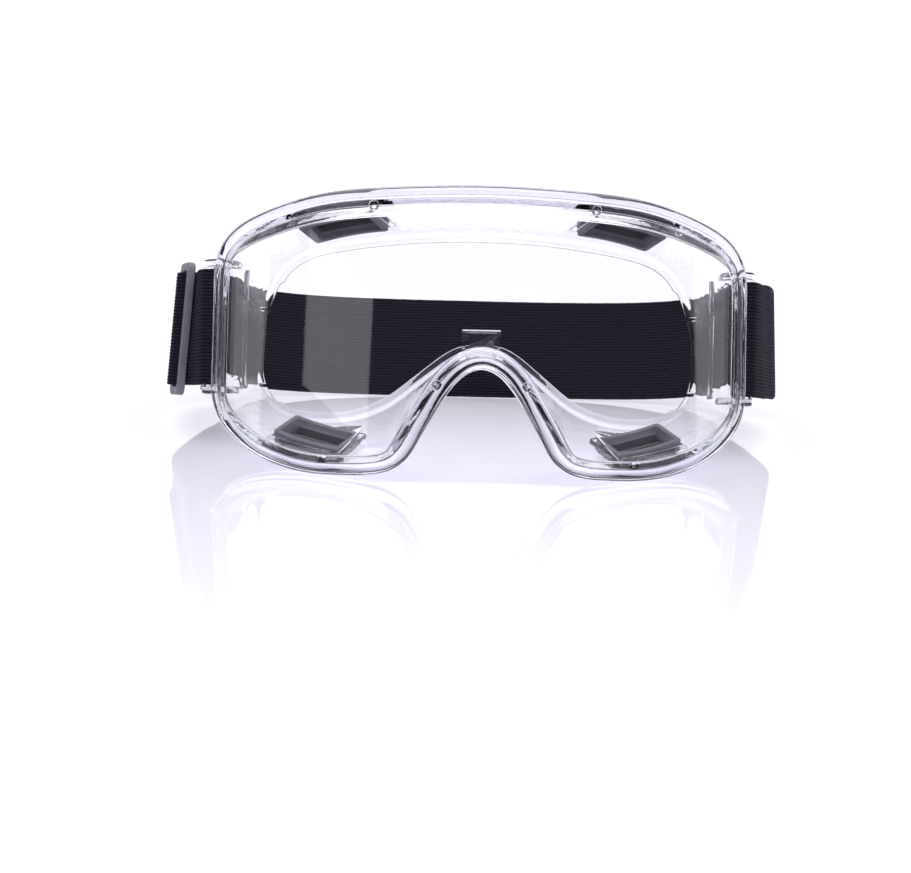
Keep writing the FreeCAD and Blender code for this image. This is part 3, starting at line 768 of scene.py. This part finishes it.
def combined(obj, others, operation):
    """Join or cut an object with others, exactly, and throw the others away."""
    group = bpy.data.collections.new("operands")
    bpy.context.scene.collection.children.link(group)
    for other in others:
        bpy.context.scene.collection.objects.unlink(other)
        group.objects.link(other)
    tool = obj.modifiers.new("combine", "BOOLEAN")
    tool.operand_type = "COLLECTION"
    tool.collection = group
    tool.operation = operation
    tool.solver = "EXACT"
    baked(obj)
    for other in others:
        bpy.data.objects.remove(other)
    bpy.data.collections.remove(group)
    return obj


def make_frame(material):
    obj = frame_skin()
    combined(obj, frame_additions(), "UNION")
    combined(obj, seat_cuts(-SEAT_REACH, -WALL), "DIFFERENCE")
    combined(obj, seat_cuts(0.0, SEAT_REACH), "DIFFERENCE")
    combined(obj, small_cuts(), "DIFFERENCE")
    obj.data.validate()
    surfaced(obj, material, 42)
    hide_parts("frame_body")
    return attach(obj, "frame")


# ---- lens ----------------------------------------------------------
LENS_COLUMNS = 161
LENS_ROWS = 61


def lens_outline():
    """Upper and lower edge of half the lens, as (u, w) from the middle to its widest."""
    edge = periodic(rim_ring(BAND - GROOVE_REACH + LENS_GAP, 0.0), 24)[:, [0, 2]]
    count = len(edge) // 2
    half = edge[:count + 1]
    widest = int(np.argmax(half[:, 0]))
    return half[:widest + 1], half[widest:][::-1]


def make_lens(material):
    """Wrap-round sheet, built from columns between its upper and lower edge."""
    top, low = lens_outline()
    reach = top[-1, 0]
    u = reach * np.sin(np.linspace(-1.0, 1.0, LENS_COLUMNS) * math.pi / 2.0)
    high = np.interp(np.abs(u), np.maximum.accumulate(top[:, 0]), top[:, 1])
    deep = np.interp(np.abs(u), np.maximum.accumulate(low[:, 0]), low[:, 1])
    t = (1.0 - np.cos(np.linspace(0.0, 1.0, LENS_ROWS) * math.pi)) / 2.0
    verts = []
    for depth in (GROOVE_FRONT + LENS_GAP, GROOVE_BACK - LENS_GAP):
        for i in range(LENS_COLUMNS):
            w = deep[i] + (high[i] - deep[i]) * t
            column = [np.full(LENS_ROWS, u[i]), np.full(LENS_ROWS, front(u[i]) + depth), w]
            verts.append(np.stack(column, 1))
    side = LENS_COLUMNS * LENS_ROWS
    faces = strip_faces(LENS_COLUMNS, LENS_ROWS, False, False)
    faces += [tuple(side + i for i in face[::-1]) for face in faces]
    border = [i * LENS_ROWS for i in range(LENS_COLUMNS)]
    border += [(LENS_COLUMNS - 1) * LENS_ROWS + j for j in range(1, LENS_ROWS)]
    border += [i * LENS_ROWS + LENS_ROWS - 1 for i in range(LENS_COLUMNS - 2, -1, -1)]
    border += [j for j in range(LENS_ROWS - 2, 0, -1)]
    for a, b in zip(border, border[1:] + border[:1]):
        faces.append((a, b, side + b, side + a))
    obj = solid("lens_sheet", np.concatenate(verts), faces, material)
    obj.data.set_sharp_from_angle(angle=math.radians(40))
    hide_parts("lens")
    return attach(obj, "frame")


# ---- strap ---------------------------------------------------------
SIDE_PLAN = [(100.6, 68.5), (104.0, 79.0), (105.8, 90.0), (104.6, 102.0), (98.0, 114.5),
             (83.0, 126.3), (53.0, 136.0), (24.0, 139.2)]
LIFT_START_V = SIDE_PLAN[0][1] + 1.0
LUG_HEADING = 23.0
LOOP_START = 148.0
LOOP_RADIUS = LUG_BAR_RADIUS + STRAP_GAP + STRAP_THICK / 2.0
LAYER = STRAP_THICK + STRAP_GAP
WEB_UNDER = -(SLIDER_THICK / 2.0 + SLIDER_GAP + STRAP_THICK / 2.0)
FOLD_RADIUS = SLIDER_PIN_RADIUS + STRAP_GAP + STRAP_THICK / 2.0
WEB_OVER = FOLD_RADIUS + LAYER + 0.1


def polar(radius, angle):
    """Point at a distance and an angle in degrees."""
    a = math.radians(angle)
    return np.array([radius * math.cos(a), radius * math.sin(a)])


def plan_axes(heading):
    """Directions along and out from webbing that heads back at an angle, seen from above."""
    a = math.radians(heading)
    return np.array([math.sin(a), math.cos(a)]), np.array([math.cos(a), -math.sin(a)])


def slider_point(s, n):
    """Place in plan from distances along and out from the middle of the slider."""
    along, out = plan_axes(SLIDER_HEADING)
    return np.array(SLIDER_WEB) + along * s + out * (n - WEB_UNDER)


def lug_loop():
    """The webbing's way round a lug's bar."""
    sweep = 360.0 - LUG_HEADING - LOOP_START
    centre = np.array([LUG_U, LUG_V])
    return [centre + polar(LOOP_RADIUS, LOOP_START + sweep * i / 6.0) for i in range(7)]


def slider_side_path():
    """Sewn end, fold round the middle bar, inner layer, lug loop, outer layer and the weave."""
    inner = WEB_UNDER - LAYER
    end = [(-7.5, -6.5), (-4.5, -5.6), (-1.5, -5.05), (0.6, -4.25), (1.65, -2.2)]
    fold = [tuple(polar(FOLD_RADIUS, angle)) for angle in (0.0, 45.0, 90.0, 135.0, 180.0)]
    back = [(-1.65, -1.6), (-2.5, inner + 0.5), (-4.2, inner)]
    hump = [tuple(polar(WEB_OVER, angle)) for angle in (178.0, 135.0, 90.0)]
    weave = [(-7.0, WEB_UNDER), (-4.9, WEB_UNDER), (-3.75, WEB_UNDER + 0.1), (-3.2, -1.2)] + hump
    top = len(weave) - 1
    weave += [(-s, n) for s, n in weave[-2::-1]]
    start = [slider_point(s, n) for s, n in end + fold + back] + lug_loop()
    return start + [slider_point(s, n) for s, n in weave], len(start) + top


def sewn_side_path():
    """Sewn tail, lug loop and outer layer on the side without a slider."""
    along, out = plan_axes(LUG_HEADING)
    centre = np.array([LUG_U, LUG_V])
    tail = [(26.0, 0.35), (20.0, 0.6), (14.0, 0.45), (8.0, -0.6)]
    return [centre + along * s + out * n for s, n in tail] + lug_loop() + [np.array(SLIDER_WEB)]


def strap_path():
    """The strap's centre line in plan, and where along it the slider's crest lies."""
    near, crest = slider_side_path()
    near = near + [np.array(p) for p in SIDE_PLAN]
    near = [np.array([-p[0], p[1]]) for p in near]
    far = (sewn_side_path() + [np.array(p) for p in SIDE_PLAN])[::-1]
    points = np.array(near + [np.array([0.0, STRAP_REAR_V])] + far)
    value, length = open_spline(points)
    chords = np.linalg.norm(np.diff(points[:crest + 1], axis=0), axis=1)
    return value, length, float(np.cumsum(chords)[-1])


def flared(u, v, w):
    """Place on the webbing: its lower edge stands out and its sides rise behind the slider."""
    angle = np.where(u < 0, FLARE_SLIDER_SIDE, FLARE_SEWN_SIDE)
    grown = np.clip((v - FLARE_START_V) / (FLARE_FULL_V - FLARE_START_V), 0.0, 1.0)
    slope = np.tan(np.radians(angle)) * u / FLARE_REACH
    back = np.maximum((v - LIFT_START_V) / (STRAP_REAR_V - LIFT_START_V), 0.0)
    lift = STRAP_LIFT * (1.0 - np.cos(2.0 * math.pi * back)) / 2.0
    return np.stack([u - slope * grown * w, v, LUG_W + w + lift], -1)


def webbing_profile():
    """Closed cross-section as places across and signed half thicknesses: ribs, soft edges."""
    half = STRAP_WIDTH / 2.0
    pitch = STRAP_WIDTH / RIBS
    w = []
    for i in range(RIBS):
        for share in (0.0, 0.14, 0.5, 0.86):
            w.append(-half + pitch * (i + share))
    w.append(half)
    w = np.array(w)
    rib = np.abs(np.sin(math.pi * (w + half) / pitch)) ** 0.6
    edge = np.clip((half - np.abs(w)) / (pitch * 0.8), 0.0, 1.0)
    thick = (STRAP_THICK / 2.0 - RIB_HEIGHT + RIB_HEIGHT * rib) * (0.45 + 0.55 * np.sqrt(edge))
    return np.concatenate([w, w[::-1]]), np.concatenate([thick, -thick[::-1]])


def make_webbing(name, value, start, end, material, step=1.0):
    """Ribbed band between two distances along the strap's path, with its ends closed."""
    count = max(int(abs(end - start) / step), 12)
    t = np.linspace(start, end, count + 1)
    centre = value(t)
    tangent = value(t + 0.02) - value(t - 0.02)
    tangent /= np.linalg.norm(tangent, axis=1)[:, None]
    normal = np.stack([-tangent[:, 1], tangent[:, 0]], 1)
    w, thick = webbing_profile()
    wobble = 0.05 * np.sin(t * 2.1) + 0.04 * np.sin(t * 5.3 + 1.0)
    rows = []
    for i in range(count + 1):
        plan = centre[i] + normal[i] * thick[:, None]
        grown = 1.0 + wobble[i] / STRAP_WIDTH
        rows.append(flared(plan[:, 0], plan[:, 1], w * grown))
    columns = len(w)
    faces = strip_faces(count + 1, columns, False, True)
    half = columns // 2
    for base in (0, count * columns):
        for j in range(half - 1):
            faces.append((base + j, base + j + 1, base + columns - 2 - j, base + columns - 1 - j))
    obj = solid(name, np.concatenate(rows), faces, material)
    layer = obj.data.uv_layers.new(name="weave")
    along = np.repeat(t, columns)
    across = np.tile(w, count + 1)
    loops = np.zeros(len(obj.data.loops), np.int32)
    obj.data.loops.foreach_get("vertex_index", loops)
    uv = np.stack([along[loops], across[loops]], 1)
    layer.data.foreach_set("uv", uv.astype(np.float32).ravel())
    obj.data.set_sharp_from_angle(angle=math.radians(65))
    return obj


def distance_at(value, low, high, v):
    """Distance along the path, between two distances, where it passes a given v."""
    t = np.linspace(low, high, 4001)
    return float(t[np.argmin(np.abs(value(t)[:, 1] - v))])


def make_strap(material):
    """The webbing as five sheets, cut where it starts to move with another body."""
    value, length, crest = strap_path()
    rear = distance_at(value, length * 0.4, length * 0.6, STRAP_REAR_V + 5.0)
    split_right = distance_at(value, crest + 20.0, rear, STRAP_SPLIT_V)
    split_left = distance_at(value, rear, length - 60.0, STRAP_SPLIT_V)
    behind = distance_at(value, crest + 5.0, split_right, EXIT_END_V)

    def level(v):
        return place((0.0, v, LUG_W))

    woven = make_webbing("webbing_slider_loop", value, 0.0, crest, material, 0.35)
    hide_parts("strap_side_right")
    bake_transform(woven)
    after = make_webbing("webbing_slider_exit", value, crest, behind, material, 0.35)
    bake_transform(after)
    bow = make_webbing("webbing_right_bow", value, behind, split_right, material)
    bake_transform(bow)
    back = make_webbing("webbing_rear", value, split_right, split_left, material)
    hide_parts("strap_rear")
    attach(back, "rear_band")
    sewn = make_webbing("webbing_left", value, split_left, length, material, 0.6)
    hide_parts("strap_side_left")
    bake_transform(sewn)
    return value, length


def thread_stitch(verts, faces, path, radius):
    """Append a tube with rounded ends along a short path of (u, v, w) points."""
    path = np.asarray(path, float)
    tangent = np.gradient(path, axis=0)
    tangent /= np.linalg.norm(tangent, axis=1)[:, None]
    side = np.cross(tangent, [0.31, 0.87, 0.38])
    side /= np.linalg.norm(side, axis=1)[:, None]
    up = np.cross(tangent, side)
    base = len(verts)
    count = len(path)
    for i in range(count):
        grown = radius * (0.35 if i in (0, count - 1) else 1.0)
        for k in range(THREAD_SIDES):
            a = 2.0 * math.pi * k / THREAD_SIDES
            verts.append(path[i] + (side[i] * math.cos(a) + up[i] * math.sin(a)) * grown)
    faces += [tuple(base + i for i in face) for face in tube_faces(count, THREAD_SIDES)]


def stitch_rows(value, distances, face, radius):
    """Rows of short arched stitches on one face of the webbing."""
    verts, faces = [], []
    for t in distances:
        point = value([t])[0]
        tangent = (value([t + 0.05]) - value([t - 0.05]))[0]
        tangent /= np.linalg.norm(tangent)
        normal = np.array([-tangent[1], tangent[0]]) * face
        for i in range(STITCHES):
            w = (i + 0.5 - STITCHES / 2.0) * STITCH_PITCH
            path = []
            for k in range(STITCH_STEPS + 1):
                share = k / STITCH_STEPS
                arch = STITCH_ARCH * math.sin(math.pi * share) ** 0.6
                lift = STRAP_THICK / 2.0 - STITCH_SUNK + arch
                plan = point + normal * lift + tangent * 0.12 * math.sin(1.7 * i)
                across = np.array(w + STITCH_LENGTH * (share - 0.5))
                path.append(flared(np.array(plan[0]), np.array(plan[1]), across))
            thread_stitch(verts, faces, path, radius)
    return verts, faces


def loose_threads(verts, faces):
    """A loop of cut thread under the folded end and a frayed tip above it."""
    u, v = slider_point(-6.6, -6.4)
    low, high = LUG_W - STRAP_WIDTH / 2.0, LUG_W + STRAP_WIDTH / 2.0
    loop = []
    for k in range(17):
        a = math.radians(100.0 + 340.0 * k / 16.0)
        loop.append((-u - 0.4 + 0.95 * math.cos(a), v + 0.25 * math.sin(2 * a),
                     low - 0.9 + 0.95 * math.sin(a)))
    thread_stitch(verts, faces, loop, 0.17)
    for lean, rise in ((-0.7, 1.5), (0.1, 1.9), (0.9, 1.1)):
        tip = [(-u + lean * k / 4.0, v, high - 0.5 + (rise + 0.5) * k / 4.0) for k in range(5)]
        thread_stitch(verts, faces, tip, 0.13)


def make_stitching(value, length, material):
    """The stitches of the sewn end, with its loose threads, and those of the tail."""
    verts, faces = stitch_rows(value, SEWN_END_ROWS, -1.0, 0.16)
    loose_threads(verts, faces)
    right = solid("stitches_right", verts, faces, material)
    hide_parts("stitching_right")
    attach(right, "slider")
    verts, faces = stitch_rows(value, [length - d for d in TAIL_ROWS], 1.0, 0.17)
    left = solid("stitches_left", verts, faces, material)
    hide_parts("stitching_left")
    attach(left, "frame")


# ---- slider --------------------------------------------------------
def rounded_rectangle(half_s, half_w, radius, steps=7):
    """Outline of a rectangle with round corners, from its half sizes."""
    points = []
    for cs, cw, first in ((1, 1, 0), (-1, 1, 90), (-1, -1, 180), (1, -1, 270)):
        for k in range(steps):
            a = math.radians(first + 90.0 * k / (steps - 1))
            points.append((cs * (half_s - radius) + radius * math.cos(a),
                           cw * (half_w - radius) + radius * math.sin(a)))
    return points


def make_slider(material):
    """Moulded three-bar slider: a rounded ring with a round bar across its middle."""
    reach = SLIDER_BAR_AT + SLIDER_BAR / 2.0
    outer = rounded_rectangle(reach, SLIDER_LENGTH / 2.0, 2.2)
    inner = rounded_rectangle(SLIDER_BAR_AT - SLIDER_BAR / 2.0, STRAP_WIDTH / 2.0 + 0.4, 0.6)
    along, out = plan_axes(SLIDER_HEADING)
    origin = slider_point(0.0, 0.0)
    tilt = math.radians(-FLARE_SLIDER_SIDE)

    def at(s, n, w):
        """Tilted as the webbing flares, then mirrored to the wearer's right."""
        plan = along * s + out * n
        u = plan[0] * math.cos(tilt) + w * math.sin(tilt)
        rise = LUG_W - plan[0] * math.sin(tilt) + w * math.cos(tilt)
        return -(origin[0] + u), origin[1] + plan[1], rise

    verts = []
    half = SLIDER_THICK / 2.0
    for loop, n in ((outer, -half), (outer, half), (inner, half), (inner, -half)):
        verts += [at(s, n, w) for s, w in loop]
    obj = solid("slider_ring", verts, strip_faces(4, len(outer), True, True))
    rounded(obj, 0.55, 4, 50)
    pin = []
    length = STRAP_WIDTH / 2.0 + 1.2
    for w in (-length, length):
        for k in range(PIN_SEGMENTS):
            a = 2.0 * math.pi * k / PIN_SEGMENTS
            pin.append(at(SLIDER_PIN_RADIUS * math.cos(a), SLIDER_PIN_RADIUS * math.sin(a), w))
    bar = solid("slider_bar", pin, tube_faces(2, PIN_SEGMENTS))
    combined(obj, [bar], "UNION")
    obj.name = "slider_moulding"
    surfaced(obj, material, 40)
    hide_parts("strap_slider")
    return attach(obj, "slider")


# ---- vents ---------------------------------------------------------
def long_sides(outline):
    """The outline with extra points along its two long sides."""
    points = []
    for here, after in zip(outline, outline[1:] + outline[:1]):
        points.append(here)
        if abs(after[0] - here[0]) > 6.0:
            points += [(here[0] + (after[0] - here[0]) * k / 12.0, here[1]) for k in range(1, 12)]
    return points


def vent_rows(seat, half, profile, bow):
    """Rounded rectangles (inset, height) round a seat; bow(height, share) bends the sides."""
    origin, a_axis, b_axis, c_axis = seat
    verts = []
    for inset, height in profile:
        radius = max(1.5 - inset, 0.3)
        outline = rounded_rectangle(half - inset, VENT_HALF_DEPTH - inset, radius, 6)
        for a, b in long_sides(outline):
            c = height + bow(height, a / half)
            verts.append(tuple(origin + a_axis * a + b_axis * b + c_axis * c))
    return verts


def vent_bar(seat, half):
    """Long bar across the neck, with rounded edges."""
    origin, *axes = seat
    size = ((-half + 2.8, half - 2.8), (-0.5, 0.5), (-0.7, 0.5))
    return rounded_box("vent_bar", size, origin, axes, 0.25)


def vent_posts(seat, half):
    """Four square posts that hold the hood off the wall."""
    origin, *axes = seat
    posts = []
    for a in (-half + 0.15, half - 2.15):
        for b in (-VENT_HALF_DEPTH + 0.15, VENT_HALF_DEPTH - 2.15):
            size = ((a, a + 2.0), (b, b + 2.0), (0.0, 2.3))
            posts.append(rounded_box("vent_post", size, origin, axes, 0.3))
    return posts


def make_bezel(name, seat, half, material):
    """Inner half: a bowed flange whose rounded window runs through the wall as a neck."""
    profile = [(0.0, -1.8), (0.0, -2.8), (0.12, -3.1), (0.4, -3.3), (1.2, -3.34), (1.7, -3.28),
               (1.95, -3.0), (2.6, -2.4), (3.4, -1.8), (3.4, 0.8), (3.2, 1.0), (2.55, 1.0),
               (2.35, 0.8), (2.35, -1.8)]
    verts = vent_rows(seat, half, profile,
                      lambda c, share: -BEZEL_BOW * share * share if c < -2.0 else 0.0)
    faces = strip_faces(len(profile), len(verts) // len(profile), True, True)
    obj = solid("bezel_" + name, verts, faces)
    combined(obj, [vent_bar(seat, half)], "UNION")
    return finish_vent(obj, "vent_bezel_" + name, material)


def make_cap(name, seat, half, material):
    """Outer half: a hood with a sunk top panel, standing on four posts."""
    profile = [(1.0, 1.9), (1.0, 1.2), (0.15, 1.2), (0.0, 1.35), (0.0, 2.4), (0.12, 2.7),
               (0.45, 2.88), (1.3, 2.9), (1.5, 2.84), (1.65, 2.6)]
    verts = vent_rows(seat, half, profile,
                      lambda c, share: -CAP_BOW * share * share if c > 2.0 else 0.0)
    faces = tube_faces(len(profile), len(verts) // len(profile))
    obj = solid("cap_" + name, verts, faces)
    combined(obj, vent_posts(seat, half), "UNION")
    return finish_vent(obj, "vent_cap_" + name, material)


def finish_vent(obj, node, material):
    surfaced(obj, material, 38)
    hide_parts(node)
    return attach(obj, "frame")


def make_vents(material):
    for name, seat, half in vents():
        make_bezel(name, seat, half, material)
        make_cap(name, seat, half, material)


# ---- studio --------------------------------------------------------
SENSOR_WIDTH = 36.0
IMAGE_WIDTH = 911.0
CAMERA_FOCAL = 1530.4      # in pixels of that width
CAMERA_PLACE = (-14.6, -518.0, 116.1)
CAMERA_ANGLES = (0.91, 12.73, 1.5)
COOL = (0.92, 0.94, 1.0)
FACE = (-0.045, -0.06, 0.045)  # what the lamps on the left point at

# Lamps: name, place, target, width, height, power, colour.
LAMPS = [
    ("overhead", (0.0, -0.1, 1.6), (0, 0, 0), 2.4, 2.4, 36.0, (1.0, 1.0, 1.0)),
    ("floor_wash", (0.0, -0.45, 0.42), (0.0, -0.4501, 0.0), 0.5, 0.25, 1.5, (1.0, 1.0, 1.0)),
]
# Lamps that only show as reflections in the lens and the frame.
REFLECTED_LAMPS = [
    ("softbox_left", (-0.956, -0.987, 0.328), FACE, 0.48, 0.185, 0.36, (0.92, 0.93, 1.0)),
    ("strip_left", (-1.47, -0.52, 0.36), FACE, 0.30, 0.62, 0.85, COOL),
    ("softbox_right", (1.515, -0.423, 0.45), (0.06, -0.06, 0.045), 0.36, 1.0, 1.5, COOL),
]


def make_camera():
    """Close view from a little above, nearly square to the front."""
    data = bpy.data.cameras.new("camera")
    data.sensor_width = SENSOR_WIDTH
    data.lens = SENSOR_WIDTH * CAMERA_FOCAL / IMAGE_WIDTH
    data.clip_start = 0.01
    data.clip_end = 50.0
    camera = bpy.data.objects.new("camera", data)
    bpy.context.scene.collection.objects.link(camera)
    yaw, pitch, roll = [math.radians(angle) for angle in CAMERA_ANGLES]
    level = math.cos(pitch)
    forward = Vector((math.sin(yaw) * level, math.cos(yaw) * level, -math.sin(pitch)))
    right = Vector((math.cos(yaw), -math.sin(yaw), 0.0))
    up = right.cross(forward)
    turned_right = right * math.cos(roll) + up * math.sin(roll)
    turned_up = up * math.cos(roll) - right * math.sin(roll)
    matrix = Matrix((turned_right, turned_up, -forward)).transposed().to_4x4()
    matrix.translation = Vector(CAMERA_PLACE) * MM
    camera.matrix_world = matrix
    bpy.context.scene.camera = camera


def area_light(name, location, target, width, height, power, colour):
    """Rectangular lamp, not seen by the camera."""
    data = bpy.data.lights.new(name, "AREA")
    data.shape = "RECTANGLE"
    data.size = width
    data.size_y = height
    data.energy = power
    data.color = colour
    light = bpy.data.objects.new(name, data)
    light.location = location
    light.visible_camera = False
    light.rotation_euler = (Vector(target) - Vector(location)).to_track_quat("-Z", "Y").to_euler()
    bpy.context.scene.collection.objects.link(light)
    return light


def make_floor():
    """Glossy white sheet that the goggles stand on."""
    size = 6.0
    verts = [(-size, -size, 0.0), (size, -size, 0.0), (size, size, 0.0), (-size, size, 0.0)]
    floor = mesh_piece("floor", verts, [(0, 1, 2, 3)])
    material, tree, shader, _ = new_material("floor")
    tone = ramp(tree, noise(tree, coordinates(tree), 3.0),
                [(0.3, (0.80, 0.79, 0.88)), (0.7, (0.81, 0.80, 0.89))])
    join(tree, shader, {"Base Color": tone, "Roughness": 0.05, "IOR": 1.5})
    floor.data.materials.append(material)


def make_world():
    """White behind the goggles, dim behind the camera, so that clear edges show."""
    sky = bpy.data.worlds.new("studio")
    bpy.context.scene.world = sky
    sky.use_nodes = True
    tree = sky.node_tree
    split = add(tree, "SeparateXYZ", {"Vector": coordinates(tree, "Generated")})
    back = ramp(tree, split.outputs["Y"], [(0.25, (0.06, 0.06, 0.07)), (0.74, (1.3, 1.3, 1.33))])
    join(tree, tree.nodes["Background"], {"Color": back, "Strength": 1.0})


def make_studio():
    make_camera()
    make_world()
    make_floor()
    for lamp in LAMPS:
        area_light(*lamp)
    for lamp in REFLECTED_LAMPS:
        area_light(*lamp).visible_diffuse = False
    scene = bpy.context.scene
    scene.view_settings.view_transform = "Standard"
    scene.cycles.transparent_max_bounces = 24
    scene.cycles.transmission_bounces = 20
    scene.cycles.max_bounces = 24


make_studio()
make_frame(vinyl_material())
make_lens(lens_material())
strap_value, strap_length = make_strap(webbing_material())
make_stitching(strap_value, strap_length, thread_material())
make_slider(plastic_material("slider_plastic", (0.09, 0.088, 0.108), (0.145, 0.14, 0.17),
                             (0.38, 0.55)))
make_vents(plastic_material("vent_plastic", (0.05, 0.05, 0.06), (0.085, 0.083, 0.1), (0.4, 0.6)))
